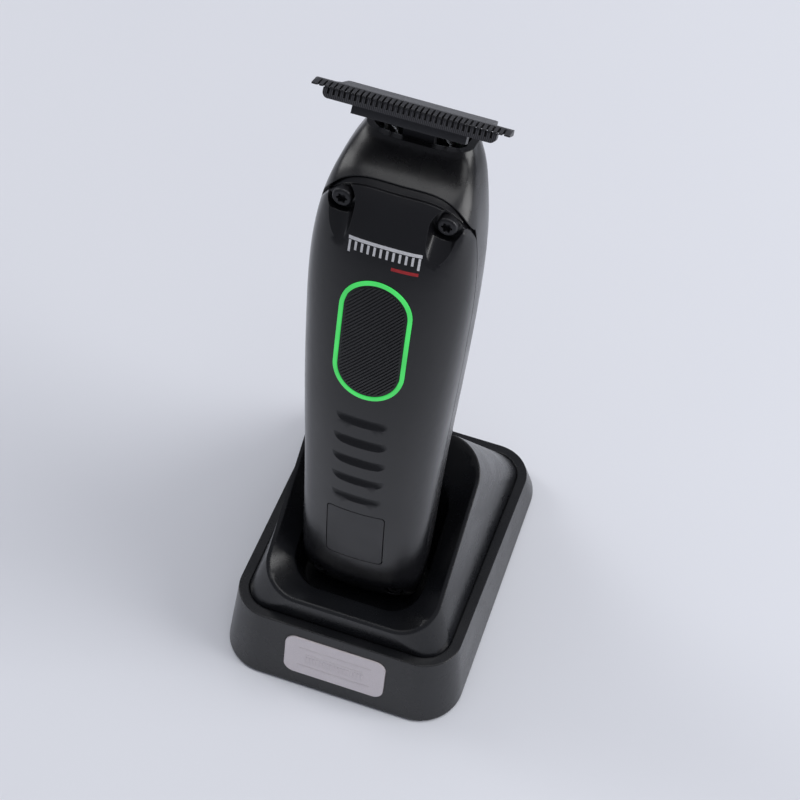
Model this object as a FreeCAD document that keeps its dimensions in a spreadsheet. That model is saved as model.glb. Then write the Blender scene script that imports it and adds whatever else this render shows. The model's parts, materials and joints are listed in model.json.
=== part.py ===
import FreeCAD, Part
import Sketcher
import math
import os
from functools import lru_cache
from types import SimpleNamespace
from FreeCAD import Placement, Rotation, Vector

# A cordless T-blade hair clipper (trimmer) standing in its charging dock.
#
# The origin is under the middle of the dock, on the surface that the dock stands on.
# +X is to the right of someone facing the object, +Y is away from them, +Z is up.
# Lengths are in millimetres and angles in degrees.
#
# There are three frames. The dock is drawn in the frame above. The handset is drawn upright,
# with its lower end at z = 0 and its front facing -Y, then leaned back into the dock. The
# blade set is drawn flat, with the tooth line at y = 0 and the skin side on z = 0, then
# turned onto the handset's head.

SIZES = {
    # how the handset stands in the dock
    "lean": 14.0, "seat_y": -16.1, "seat_z": 20.1,
    # handset body: overall sizes, wall, and the seam between the two halves
    "body_length": 149.5, "body_half": 20.1, "front_depth": 17.9, "back_depth": 18.4,
    "body_wall": 2.0, "split_y": -3.5, "seam_gap": 0.12, "fit_gap": 0.15,
    # arched top edge of the front cover, measured down from the top of the body
    "arch_apex": 5.7, "arch_mid_x": 13.4, "arch_mid": 7.6, "arch_side_x": 18.6, "arch_side": 14.5,
    "arch_end": 30.0, "arch_step": 0.8, "arch_band": 1.3,
    # screws that close the handset
    "upper_screw_x": 12.5, "upper_screw_drop": 11.1, "upper_head_y": -8.1, "upper_head_radius": 2.45,
    "lower_screw_x": 10.4, "lower_screw_z": 8.4, "lower_head_y": -7.2, "lower_head_radius": 2.1,
    "head_height": 1.9, "screw_radius": 1.2, "screw_length": 8.0, "boss_radius": 2.8,
    "pocket_radius": 3.7, "scallop_angle": 38.0, "lug_inner": 7.4, "head_round": 0.35,
    "socket_share": 0.5, "socket_depth": 0.62,
    # power button and the lit ring around it
    "ring_z": 105.1, "ring_half": 8.4, "ring_straight": 8.6, "ring_band": 1.0, "ring_proud": 0.35,
    "button_travel": 0.6, "button_depth": 3.1, "button_proud": 0.15, "rib_pitch": 1.1,
    "rib_width": 0.4, "rib_height": 0.3, "rib_angle": 47.0, "stem_radius": 2.0, "flange": 0.9,
    # grip grooves and the indicator window
    "groove_count": 5, "groove_low": 51.0, "groove_pitch": 7.4, "groove_half": 4.4,
    "groove_depth": 1.0, "groove_radius": 5.6,
    "window_half": 7.8, "window_z": 33.7, "window_half_height": 10.35, "window_corner": 1.3,
    # speed button on the left flank
    "side_z": 78.0, "side_y": 1.0, "side_radius": 1.6, "side_proud": 0.8, "side_travel": 0.5,
    # inside the handset
    "battery_radius": 8.0, "battery_length": 50.0, "battery_low": 18.0, "battery_y": 4.6,
    "motor_radius": 10.0, "motor_length": 30.0, "motor_drop": 27.5, "motor_y": 5.0,
    "shaft_radius": 1.0, "cam_radius": 3.8, "cam_height": 4.0, "throw": 1.0, "pin_radius": 0.9,
    "pin_length": 7.5, "board_y": -6.6, "board_thick": 1.2, "board_half": 10.5, "board_low": 15.0,
    "board_high": 113.0, "frame_half": 11.5, "switch_half": 3.0, "switch_height": 3.4,
    "contact_x": 6.0, "contact_y": 3.0, "contact_radius": 1.8, "contact_head": 2.4,
    "block_half": 9.2, "block_depth": 4.0,
    # blade set
    "blade_y": -3.0, "blade_rise": 16.1, "blade_turn": 32.0, "blade_half": 22.8, "blade_back_half": 17.6,
    "wing_depth": 4.5, "blade_depth": 12.5, "blade_thick": 1.3, "bevel_depth": 3.0, "bevel_drop": 0.9,
    "tooth_pitch": 1.25, "tooth_gap": 0.5, "tooth_reach": 2.8, "step_corner": 1.6,
    "cutter_half": 20.0, "cutter_front": 0.25, "cutter_lip": 2.2, "cutter_tall": 2.25,
    "cutter_thin": 1.1, "cutter_depth": 8.2, "cutter_back_half": 12.0, "cutter_gap": 0.05,
    "cutter_slot": 1.3, "cutter_corner": 1.4, "stroke": 1.0,
    "bar_half": 13.3, "bar_front": 2.6, "bar_depth": 2.6, "bar_low": 5.7,
    "tongue_half": 3.75, "bracket_half": 13.2, "bracket_sheet": 1.0, "bracket_inner": 8.6,
    "bracket_waist": 9.6,
    # dock
    "dock_half_x": 33.8, "dock_half_y": 43.7, "dock_corner": 12.0, "foot_proud": 0.8,
    "rim_half_x": 31.6, "rim_front_y": -37.3, "rim_front_z": 23.0, "rim_back_y": 42.0,
    "rim_back_z": 8.8, "rim_corner": 10.5, "ledge": 2.8, "skirt": 2.0, "dock_wall": 2.0,
    "mouth_half": 23.5, "mouth_front_y": -32.3, "mouth_front_z": 29.5, "mouth_back_y": 15.7,
    "mouth_back_z": 52.5, "mouth_corner": 10.0, "mouth_lip": 1.0,
    "pocket_half": 18.2, "pocket_front_y": -26.8, "pocket_front_z": 27.8, "pocket_back_y": 8.2,
    "pocket_back_z": 44.0, "pocket_corner": 9.0,
    "floor_half": 16.5, "floor_front": -8.5, "floor_back": 14.2, "floor_drop": 1.2, "floor_corner": 8.0,
    "plate_thick": 2.0, "plate_gap": 0.8, "foot_radius": 5.0, "foot_x": 23.0, "foot_y": 32.0,
    "foot_thick": 1.8,
    "base_screw_x": 26.0, "base_screw_y": 22.0, "base_screw_radius": 1.3,
    "badge_half": 14.3, "badge_height": 14.3, "badge_thick": 1.0, "badge_corner": 3.0, "badge_low": 5.2,
    "inlet_half": 4.6, "inlet_height": 3.3, "inlet_z": 5.6, "inlet_depth": 7.5, "inlet_boss": 6.5,
    "dock_board_half": 13.0, "dock_board_length": 30.0, "dock_board_z": 3.1,
    "probe_radius": 0.9, "probe_collar": 1.5, "probe_gap": 0.15,
    "probe_length": 9.0, "guide_half_x": 9.5, "guide_half_y": 3.6, "guide_height": 8.0,
    "wire": 0.35,
}

doc = FreeCAD.newDocument("HairClipper")
sheet = doc.addObject("Spreadsheet::Sheet", "Sizes")
for row, (alias, value) in enumerate(SIZES.items(), start=1):
    sheet.set("A%d" % row, alias)
    sheet.set("B%d" % row, str(value))
    sheet.setAlias("B%d" % row, alias)
doc.recompute()


# S.lean is the value of the cell with the alias lean, and so on.
S = SimpleNamespace(**{alias: float(sheet.get(alias)) for alias in SIZES})

# ---------------------------------------------------------------- frames
TURN_X = Vector(1, 0, 0)
DOCK = Placement()
HANDSET = Placement(Vector(0, S.seat_y, S.seat_z), Rotation(TURN_X, -S.lean))
BLADE = HANDSET.multiply(Placement(Vector(0, S.blade_y, S.body_length + S.blade_rise),
                                   Rotation(TURN_X, -S.blade_turn)))
nodes = []


def cells(text):
    """The expression "rim_half_x - ledge" with each name looked up in the sheet."""
    words = []
    for word in text.replace("(", "( ").replace(")", " )").split():
        words.append("Sizes." + word if word[0].isalpha() else word)
    return " ".join(words)


def bind(thing, **values):
    """Bind properties to the sheet; a double underscore stands for a dot."""
    for name, text in values.items():
        thing.setExpression(name.replace("__", "."), cells(text))


def keep(thing, node, frame=DOCK):
    """Name a finished object as a node and put it in its frame."""
    thing.Label = node
    if frame is not DOCK:
        thing.Placement = frame
    nodes.append(thing)
    return thing


def solid_node(node, shape, frame=DOCK):
    """A node whose shape is worked out here from the sheet's values."""
    thing = doc.addObject("Part::Feature", node)
    thing.Shape = shape
    return keep(thing, node, frame)


# ---------------------------------------------------------------- sketch-based bodies
def sketch_in(body, role, points, shift="0", name="Outline"):
    """A closed outline whose corners are bound to the sheet, on one of the body's own planes."""
    sketch = body.newObject("Sketcher::SketchObject", name)
    plane = [item for item in body.Origin.OriginFeatures if item.Role == role][0]
    sketch.AttachmentSupport = [(plane, "")]
    sketch.MapMode = "FlatFace"
    bind(sketch, AttachmentOffset__Base__z=shift)
    start = [Vector(*at(corner), 0) for corner in points]
    for index, corner in enumerate(start):
        sketch.addGeometry(Part.LineSegment(corner, start[(index + 1) % len(start)]))
    for index in range(len(start)):
        sketch.addConstraint(Sketcher.Constraint("Coincident", index, 2, (index + 1) % len(start), 1))
    for index, (x_text, y_text) in enumerate(points):
        for kind, text in (("DistanceX", x_text), ("DistanceY", y_text)):
            number = sketch.addConstraint(Sketcher.Constraint(kind, -1, 1, index, 1, value_of(text)))
            sketch.setExpression("Constraints[%d]" % number, cells(text))
    return sketch


def value_of(text):
    """The number that an expression of sheet names has now."""
    names = {"Sizes." + alias: getattr(S, alias) for alias in SIZES}
    total, sign, product, factor = 0.0, 1.0, 1.0, "*"
    for word in cells(text).split() + ["+"]:
        if word in ("+", "-"):
            total += sign * product
            sign, product = (1.0, 1.0) if word == "+" else (-1.0, 1.0)
        elif word in ("*", "/"):
            factor = word
            continue
        else:
            number = names[word] if word in names else float(word)
            product = product / number if factor == "/" else product * number
        factor = "*"
    return total


def at(corner):
    return value_of(corner[0]), value_of(corner[1])


def padded(node, role, points, length, shift="0", middle=False, back=False):
    """A body made by padding one outline."""
    body = doc.addObject("PartDesign::Body", node)
    sketch = sketch_in(body, role, points, shift)
    pad = body.newObject("PartDesign::Pad", "Pad")
    pad.Profile = sketch
    pad.Midplane = middle
    pad.Reversed = back
    bind(pad, Length=length)
    doc.recompute()
    return body


def turned(node, points):
    """A body turned about its own Z axis from an outline of radius and height."""
    body = doc.addObject("PartDesign::Body", node)
    sketch = sketch_in(body, "XZ_Plane", points)
    spin = body.newObject("PartDesign::Revolution", "Turn")
    spin.Profile = sketch
    spin.ReferenceAxis = (sketch, ["V_Axis"])
    spin.Angle = 360
    doc.recompute()
    return body


def pocketed(body, role, points, length, shift="0", middle=True):
    """A pocket through the body, checked to remove material."""
    before = body.Shape.Volume
    sketch = sketch_in(body, role, points, shift, "Cut")
    cut = body.newObject("PartDesign::Pocket", "Pocket")
    cut.Profile = sketch
    cut.Midplane = middle
    bind(cut, Length=length)
    doc.recompute()
    if not body.Shape.Volume < before:
        raise ValueError(body.Name + ": a pocket removed nothing")
    return cut


# ---------------------------------------------------------------- plain shapes
def block(low, high):
    return Part.makeBox(high[0] - low[0], high[1] - low[1], high[2] - low[2], Vector(*low))


def rod(radius, length, start, way):
    return Part.makeCylinder(radius, length, Vector(*start), Vector(*way))


def strip(points, half):
    """A flat piece across X from an outline of y and z."""
    corners = [Vector(-half, y, z) for y, z in points]
    return Part.Face(Part.makePolygon(corners + corners[:1])).extrude(Vector(2 * half, 0, 0))


def joined(shapes):
    whole = shapes[0]
    for shape in shapes[1:]:
        whole = whole.fuse(shape)
    return whole.removeSplitter()


def outline(half_x, low_y, high_y, corner, frame):
    """A rounded rectangle, placed by a frame."""
    corner = min(corner, half_x - 0.1, (high_y - low_y) / 2 - 0.1)
    edges = []
    spots = [(half_x, high_y, 0), (-half_x, high_y, 90), (-half_x, low_y, 180), (half_x, low_y, 270)]
    ends = []
    for x, y, start in spots:
        middle = Vector(x - math.copysign(corner, x), y - math.copysign(corner, y - (low_y + high_y) / 2), 0)
        arc = [middle + Vector(math.cos(math.radians(start + turn)), math.sin(math.radians(start + turn)), 0)
               * corner for turn in (0, 45, 90)]
        ends.append(arc)
    for number, arc in enumerate(ends):
        edges.append(Part.Arc(*arc).toShape())
        edges.append(Part.LineSegment(arc[2], ends[(number + 1) % 4][0]).toShape())
    wire = Part.Wire(Part.__sortEdges__(edges))
    wire.Placement = frame
    return wire


def stadium(half, straight, low_y, high_y, middle_z):
    """A prism along Y whose outline is a rectangle with round ends."""
    core = block((-half, low_y, middle_z - straight), (half, high_y, middle_z + straight))
    ends = [rod(half, high_y - low_y, (0, low_y, middle_z + side * straight), (0, 1, 0)) for side in (-1, 1)]
    return joined([core] + ends)


# ---------------------------------------------------------------- handset body
# Each station is a level of the body: its height, half width, front, back and the place of its
# widest line as shares of the overall sizes, and how square its corners are.
STATIONS = [
    (0.000, 0.62, 0.17, 0.52, 0.00, 2.4),
    (0.020, 0.74, 0.34, 0.64, -0.05, 2.4),
    (0.060, 0.81, 0.53, 0.77, -0.10, 2.5),
    (0.155, 0.85, 0.75, 0.90, -0.11, 2.5),
    (0.335, 0.88, 0.91, 0.96, -0.11, 2.5),
    (0.540, 0.95, 1.00, 0.98, -0.11, 2.5),
    (0.675, 0.99, 0.95, 0.99, -0.11, 2.5),
    (0.790, 1.00, 0.85, 1.00, -0.11, 2.6),
    (0.876, 0.955, 0.72, 1.00, -0.05, 2.8),
    (0.923, 0.89, 0.58, 0.985, 0.03, 3.0),
    (0.950, 0.83, 0.41, 0.965, 0.16, 3.2),
    (0.976, 0.74, 0.09, 0.935, 0.38, 3.3),
    (1.000, 0.645, -0.22, 0.89, 0.57, 3.3),
]
POINTS_ROUND = 24


def body_level(height, half, front, back, widest, square):
    """One level of the body as a closed smooth curve."""
    points = []
    for step in range(POINTS_ROUND):
        turn = 2 * math.pi * step / POINTS_ROUND
        across, along = math.cos(turn), math.sin(turn)
        reach = back - widest if along > 0 else widest - front
        x = half * math.copysign(abs(across) ** (2 / square), across)
        y = widest + reach * math.copysign(abs(along) ** (2 / square), along)
        points.append(Vector(x, y, height))
    curve = Part.BSplineCurve()
    curve.interpolate(Points=points, PeriodicFlag=True)
    return Part.Wire([curve.toShape()])


@lru_cache(maxsize=None)
def body_form(inset=0.0, floor=0.0, over=0.0):
    """The handset's outer form, drawn in by inset, from floor up to over above its top."""
    wires = []
    for share, half, front, back, widest, square in STATIONS:
        height = share * S.body_length
        height = max(height, floor) if share == 0 else height
        height += over if share == 1 else 0
        wires.append(body_level(height, half * S.body_half - inset, inset - front * S.front_depth,
                                back * S.back_depth - inset, widest * S.back_depth, square))
    return Part.makeLoft(wires, True, False)


@lru_cache(maxsize=None)
def front_region(gap, behind=0.0):
    """The space in front of the split and under the arch; behind takes it past the split."""
    top = S.body_length
    apex = Vector(0, 0, top - S.arch_apex - gap)
    middle = Vector(S.arch_mid_x, 0, top - S.arch_mid - gap)
    side = Vector(S.arch_side_x, 0, top - S.arch_side - gap)
    end = Vector(S.body_half + 2 + behind, 0, top - S.arch_end - gap)
    curve = Part.BSplineCurve()
    curve.interpolate([mirrored(end), mirrored(side), mirrored(middle), apex, middle, side, end])
    low = -2 - behind
    edges = [curve.toShape(), Part.LineSegment(end, Vector(end.x, 0, low)).toShape(),
             Part.LineSegment(Vector(end.x, 0, low), Vector(-end.x, 0, low)).toShape(),
             Part.LineSegment(Vector(-end.x, 0, low), mirrored(end)).toShape()]
    face = Part.Face(Part.Wire(edges))
    deep = 2 * S.front_depth + behind
    face.translate(Vector(0, -deep, 0))
    return face.extrude(Vector(0, deep + S.split_y - gap + 2 * behind, 0))


def mirrored(point):
    return Vector(-point.x, point.y, point.z)


OUTER = body_form()
CAVITY = body_form(S.body_wall, S.body_wall, 2.0)
SKIN = OUTER.cut(CAVITY)
UPPER_Z = S.body_length - S.upper_screw_drop
SCREW_SPOTS = [(side * S.upper_screw_x, UPPER_Z, S.upper_head_y, S.upper_head_radius) for side in (-1, 1)]
SCREW_SPOTS += [(side * S.lower_screw_x, S.lower_screw_z, S.lower_head_y, S.lower_head_radius)
                for side in (-1, 1)]


def rear_housing():
    """The back, the flanks and the head in one piece, with a boss for each closing screw."""
    parts = [SKIN.cut(front_region(-S.seam_gap))]
    for x, z, head_y, _ in SCREW_SPOTS:
        boss = rod(S.boss_radius, 2 * S.back_depth, (x, S.split_y + 2 * S.seam_gap, z), (0, 1, 0))
        parts.append(boss.common(body_form(S.body_wall / 2)))
    shell = joined(parts)
    for x, z, head_y, _ in SCREW_SPOTS:
        shell = shell.cut(rod(S.screw_radius, S.screw_length, (x, head_y + S.head_height, z), (0, 1, 0)))
    shell = shell.cut(side_hole())
    return shell.cut(contact_gap())


def side_hole():
    return rod(S.side_radius + S.fit_gap, S.body_half, (-S.body_half - 2, S.side_y, S.side_z), (1, 0, 0))


def contact_gap():
    """The slot in the lower end that the contact block fills."""
    grow = S.fit_gap
    low = (-S.block_half - grow, S.contact_y - S.block_depth - grow, -1)
    high = (S.block_half + grow, S.contact_y + S.block_depth + grow, S.body_wall + 1)
    return block(low, high)


def front_cover():
    """The front half, with its screw pockets, grip grooves and openings."""
    region = front_region(S.seam_gap)
    lugs = []
    for x, z, head_y, _ in SCREW_SPOTS[2:]:
        lugs.append(rod(S.boss_radius, S.split_y - head_y - S.head_height - S.seam_gap,
                        (x, head_y + S.head_height, z), (0, 1, 0)))
    for side in (-1, 1):
        low, high = sorted((side * S.lug_inner, side * S.body_half))
        lugs.append(block((low, -S.front_depth, UPPER_Z - 11), (high, 0, UPPER_Z + 4)))
    backing = lugs[0].multiFuse(lugs[1:]).common(body_form(S.body_wall / 2))
    cover = SKIN.fuse(backing).common(region)
    reach = 2 * S.front_depth
    cuts = [window_prism(0.0), button_opening()]
    for x, z, head_y, head_radius in SCREW_SPOTS:
        floor = head_y + S.head_height
        wide = S.pocket_radius if z == UPPER_Z else head_radius + 0.5
        cuts.append(rod(wide, reach, (x, floor - reach, z), (0, 1, 0)))
        cuts.append(rod(S.screw_radius + S.fit_gap, reach, (x, floor - 1, z), (0, 1, 0)))
        if z == UPPER_Z:
            cuts.append(scallop(x, floor, z))
    for number in range(int(S.groove_count)):
        cuts.append(grip_groove(S.groove_low + number * S.groove_pitch))
    cover = cover.cut(cuts)
    rim = body_form(-1.0).cut(body_form(S.arch_step)).common(above(S.body_length - S.arch_end))
    cover = cover.cut(rim.cut(front_region(S.arch_band, 3.0))).removeSplitter()
    return max(cover.Solids, key=lambda piece: piece.Volume)


def above(level):
    return block((-50, -50, level), (50, 50, 2 * S.body_length))


def scallop(x, floor, z):
    """The run-out under an upper screw, where the pocket blends down into the cover."""
    slope = math.radians(S.scallop_angle)
    start = Vector(x, floor - S.pocket_radius, z)
    dish = rod(S.pocket_radius, S.front_depth, start, (0, -math.sin(slope), -math.cos(slope)))
    return dish.fuse(Part.makeSphere(S.pocket_radius, start))


def grip_groove(z):
    """A louvre: a sharp upper edge at a height, over a floor that rises to the surface below it."""
    radius, reach = S.groove_radius, S.groove_half + S.groove_radius
    y = S.groove_depth - body_reach(z) - radius
    scoop = rod(radius, 2 * S.groove_half, (-S.groove_half, y, z), (1, 0, 0))
    ends = [Part.makeSphere(radius, Vector(x, y, z)) for x in (-S.groove_half, S.groove_half)]
    return scoop.multiFuse(ends).common(block((-reach, y - radius, z - radius), (reach, y + radius, z)))


def body_reach(z):
    """How far the handset's middle line stands forward at a height."""
    share = z / S.body_length
    for low, high in zip(STATIONS[:-1], STATIONS[1:]):
        if low[0] <= share <= high[0]:
            mix = (share - low[0]) / (high[0] - low[0])
            return (low[2] + (high[2] - low[2]) * mix) * S.front_depth
    return S.front_depth


def button_prism(half):
    """A prism with the power button's outline, through the front of the body."""
    return stadium(half, S.ring_straight, -2 * S.front_depth, S.split_y - 4, S.ring_z)


def button_opening():
    """The opening for the lit ring, with the power button inside it."""
    return button_prism(S.ring_half + S.ring_band / 2)


def window_prism(gap):
    half, tall = S.window_half - gap, S.window_half_height - gap
    lying = Placement(Vector(0, S.split_y - 4, S.window_z), Rotation(TURN_X, 90))
    face = Part.Face(outline(half, -tall, tall, S.window_corner, lying))
    return face.extrude(Vector(0, -2 * S.front_depth, 0))


def light_ring():
    """The raised translucent band round the power button."""
    band = button_prism(S.ring_half + S.ring_band / 2 - 0.02)
    band = band.cut(button_prism(S.ring_half - S.ring_band / 2))
    return band.common(body_form(-S.ring_proud).cut(CAVITY))


def power_button():
    """The ribbed pad, its flange behind the cover, and the stem that works the switch."""
    inside = S.ring_half - S.ring_band / 2 - S.fit_gap
    back = body_form(S.button_depth)
    pad = button_prism(inside).common(body_form(-S.button_proud).cut(back))
    flange = button_prism(S.ring_half + S.flange).common(body_form(S.body_wall + 0.35).cut(back))
    reach = S.ring_straight + S.ring_half
    count = int(2 * (reach + S.ring_half) / S.rib_pitch)
    bars = []
    for number in range(count):
        bar = block((-2 * reach, -2 * S.front_depth, -S.rib_width / 2), (2 * reach, 0, S.rib_width / 2))
        bar.rotate(Vector(0, 0, 0), Vector(0, 1, 0), -S.rib_angle)
        bar.translate(Vector(0, 0, S.ring_z + (number - count / 2) * S.rib_pitch))
        bars.append(bar)
    raised = body_form(-S.button_proud - S.rib_height).cut(body_form(0.3)).common(button_prism(inside - 0.5))
    ribs = [rib for rib in raised.common(Part.makeCompound(bars)).Solids if rib.Volume > 0.01]
    top = S.board_y - S.switch_height - S.button_travel - 0.1
    stem = rod(S.stem_radius, S.front_depth, (0, top, S.ring_z), (0, -1, 0))
    stem = stem.common(body_form(S.button_depth - 0.2))
    return pad.multiFuse([flange, stem] + ribs).removeSplitter()


def inner_frame():
    """The moulded carrier that holds the cell, the motor and the board."""
    front = S.board_y + S.board_thick
    low = S.battery_low - 3
    waist = S.battery_low + S.battery_length + 15
    motor_low = S.body_length - S.motor_drop - S.motor_length
    motor_high = motor_low + S.motor_length
    frame = block((-S.frame_half, front, low), (S.frame_half, S.battery_y + 3.5, waist))
    upper = block((-S.frame_half - 1.5, front, waist), (S.frame_half + 1.5, S.motor_y + 4, motor_high + 2.5))
    frame = frame.fuse(upper)
    cell, motor = S.battery_radius + 0.3, S.motor_radius + 0.2
    cell_high = S.battery_low + S.battery_length + 0.5
    cuts = [block((-cell, front - 1, S.battery_low - 0.5), (cell, S.battery_y, cell_high)),
            rod(cell, S.battery_length + 1, (0, S.battery_y, S.battery_low - 0.5), (0, 0, 1)),
            block((-motor, front - 1, motor_low - 0.5), (motor, S.motor_y, motor_high + 0.5)),
            rod(motor, S.motor_length + 1, (0, S.motor_y, motor_low - 0.5), (0, 0, 1)),
            rod(S.cam_radius + 0.5, 9, (0, S.motor_y, motor_high), (0, 0, 1)),
            block((-S.cam_radius - 0.5, front - 1, motor_high),
                  (S.cam_radius + 0.5, S.motor_y, motor_high + 9))]
    return frame.cut(cuts)


# ---------------------------------------------------------------- small handset pieces
def screw(head_radius, head_height, shank_radius, length):
    """A domed screw: the head above z = 0, the shank below it, and a six-lobed socket."""
    head = rod(head_radius, head_height, (0, 0, 0), (0, 0, 1))
    rim = [edge for edge in head.Edges if edge.Curve.TypeId == "Part::GeomCircle"
           and abs(edge.CenterOfMass.z - head_height) < 1e-6]
    body = head.makeFillet(head_height * S.head_round, rim)
    body = body.fuse(rod(shank_radius, length, (0, 0, -length), (0, 0, 1))).removeSplitter()
    reach, low = head_radius * S.socket_share, head_height * (1 - S.socket_depth)
    socket = rod(reach * 0.8, head_height, (0, 0, low), (0, 0, 1))
    for lobe in range(6):
        turn = math.radians(60 * lobe)
        spot = (reach * 0.8 * math.cos(turn), reach * 0.8 * math.sin(turn), low)
        socket = socket.fuse(rod(reach * 0.3, head_height, spot, (0, 0, 1)))
    return body.cut(socket)


def placed(shape, spot, way):
    """A copy of a shape whose own Z axis points along way."""
    copy = shape.copy()
    copy.Placement = Placement(Vector(*spot), Rotation(Vector(0, 0, 1), Vector(*way)))
    return copy


def closing_screws(node, spots):
    pieces = []
    for x, z, head_y, head_radius in spots:
        one = screw(head_radius, S.head_height, S.screw_radius - 0.05, S.screw_length - 0.3)
        pieces.append(placed(one, (x, head_y + S.head_height, z), (0, -1, 0)))
    return solid_node(node, Part.makeCompound(pieces), HANDSET)


def indicator_window():
    skin = OUTER.cut(body_form(S.body_wall * 0.8))
    return window_prism(0.22).common(skin)


def beside(y, x=0.0, z=0.0):
    """The handset's frame moved sideways in itself."""
    return HANDSET.multiply(Placement(Vector(x, y, z), Rotation()))


def handset_outside():
    solid_node("rear_housing", rear_housing(), HANDSET)
    solid_node("front_cover", front_cover(), HANDSET)
    solid_node("light_ring", light_ring(), HANDSET)
    solid_node("power_button", power_button(), HANDSET)
    solid_node("indicator_window", indicator_window(), HANDSET)
    closing_screws("upper_screws", SCREW_SPOTS[:2])
    closing_screws("lower_screws", SCREW_SPOTS[2:])


def side_controls():
    """The speed button in the left flank, and the switch that it works."""
    flank = -0.945 * S.body_half - S.side_proud
    cap = rod(S.side_radius, 3.2, (flank, 0, 0), (1, 0, 0))
    flange = rod(S.side_radius + 0.5, 0.6, (flank + 3.2, 0, 0), (1, 0, 0))
    cap = cap.makeFillet(0.5, [edge for edge in cap.Edges if edge.Curve.TypeId == "Part::GeomCircle"
                               and edge.CenterOfMass.x < flank + 1])
    solid_node("speed_button", joined([cap, flange]), beside(S.side_y, 0, S.side_z))
    start = flank + 3.8 + S.side_travel + 0.1
    switch = block((start, -1.6, -2.2), (-S.frame_half - 0.02, 1.6, 2.2))
    solid_node("speed_switch", switch, beside(S.side_y, 0, S.side_z))


def handset_inside():
    solid_node("inner_frame", inner_frame(), HANDSET)
    cell = turned("battery_cell", [("0", "battery_low"), ("battery_radius", "battery_low"),
                                   ("battery_radius", "battery_low + battery_length - 1"),
                                   ("battery_radius * 0.35", "battery_low + battery_length - 1"),
                                   ("battery_radius * 0.35", "battery_low + battery_length"),
                                   ("0", "battery_low + battery_length")])
    keep(cell, "battery_cell", beside(S.battery_y))
    top = "body_length - motor_drop"
    can = turned("motor_can", [("shaft_radius + 0.05", top + " - motor_length"),
                               ("motor_radius", top + " - motor_length"),
                               ("motor_radius", top + " - 0.5"), ("motor_radius - 0.5", top),
                               ("3", top), ("3", top + " + 1"), ("shaft_radius + 0.05", top + " + 1")])
    keep(can, "motor_can", beside(S.motor_y))
    shaft = turned("motor_shaft", [("0", top + " - motor_length + 1"),
                                   ("shaft_radius", top + " - motor_length + 1"),
                                   ("shaft_radius", top + " + 4"), ("0", top + " + 4")])
    keep(shaft, "motor_shaft", beside(S.motor_y))
    low = S.body_length - S.motor_drop + 1.5
    hub = rod(S.cam_radius, S.cam_height, (0, 0, low), (0, 0, 1))
    hub = hub.cut(rod(S.shaft_radius, 2.5, (0, 0, low), (0, 0, 1)))
    pin = rod(S.pin_radius, S.pin_length, (S.throw, 0, low + S.cam_height), (0, 0, 1))
    solid_node("eccentric_cam", joined([hub, pin]), beside(S.motor_y))
    board = padded("control_board", "XZ_Plane",
                   [("0 - board_half", "board_low"), ("board_half", "board_low"),
                    ("board_half", "board_high"), ("0 - board_half", "board_high")],
                   "board_thick", "0 - board_y - board_thick")
    keep(board, "control_board", HANDSET)
    side = S.switch_half
    switch = block((-side, S.board_y - S.switch_height, S.ring_z - side), (side, S.board_y, S.ring_z + side))
    solid_node("power_switch", switch, HANDSET)
    display = block((-S.window_half, S.board_y - 3.2, S.window_z - S.window_half_height),
                    (S.window_half, S.board_y, S.window_z + S.window_half_height))
    solid_node("indicator_lights", display, HANDSET)
    lamps = [block((x - 0.8, S.board_y - 1.1, S.ring_z + z - 0.5), (x + 0.8, S.board_y, S.ring_z + z + 0.5))
             for x in (-S.ring_half + 1, S.ring_half - 1)
             for z in (-S.ring_straight / 2, S.ring_straight / 2)]
    solid_node("ring_lamps", Part.makeCompound(lamps), HANDSET)


def charge_end():
    """The insulating block in the lower end, and the two studs that the dock's pins meet."""
    high = S.body_wall + 3
    body = block((-S.block_half, S.contact_y - S.block_depth, 0.3),
                 (S.block_half, S.contact_y + S.block_depth, high))
    studs = []
    for side in (-1, 1):
        spot = (side * S.contact_x, S.contact_y, 0)
        head = rod(S.contact_head, 0.6, spot, (0, 0, 1))
        stem = rod(S.contact_radius, high + 2, spot, (0, 0, 1))
        stud = joined([head, stem])
        studs.append(stud)
        body = body.cut(stud)
    solid_node("contact_block", body, HANDSET)
    solid_node("charge_contacts", Part.makeCompound(studs), HANDSET)


# ---------------------------------------------------------------- blade set
def repeated(body, cut, count, pitch):
    """Repeat a pocket along the sketch's own X axis."""
    row = body.newObject("PartDesign::LinearPattern", "Row")
    row.Originals = [cut]
    row.Direction = (cut.Profile[0], ["H_Axis"])
    row.Occurrences = count
    row.Length = pitch * (count - 1)
    body.Tip = row
    doc.recompute()


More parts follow.
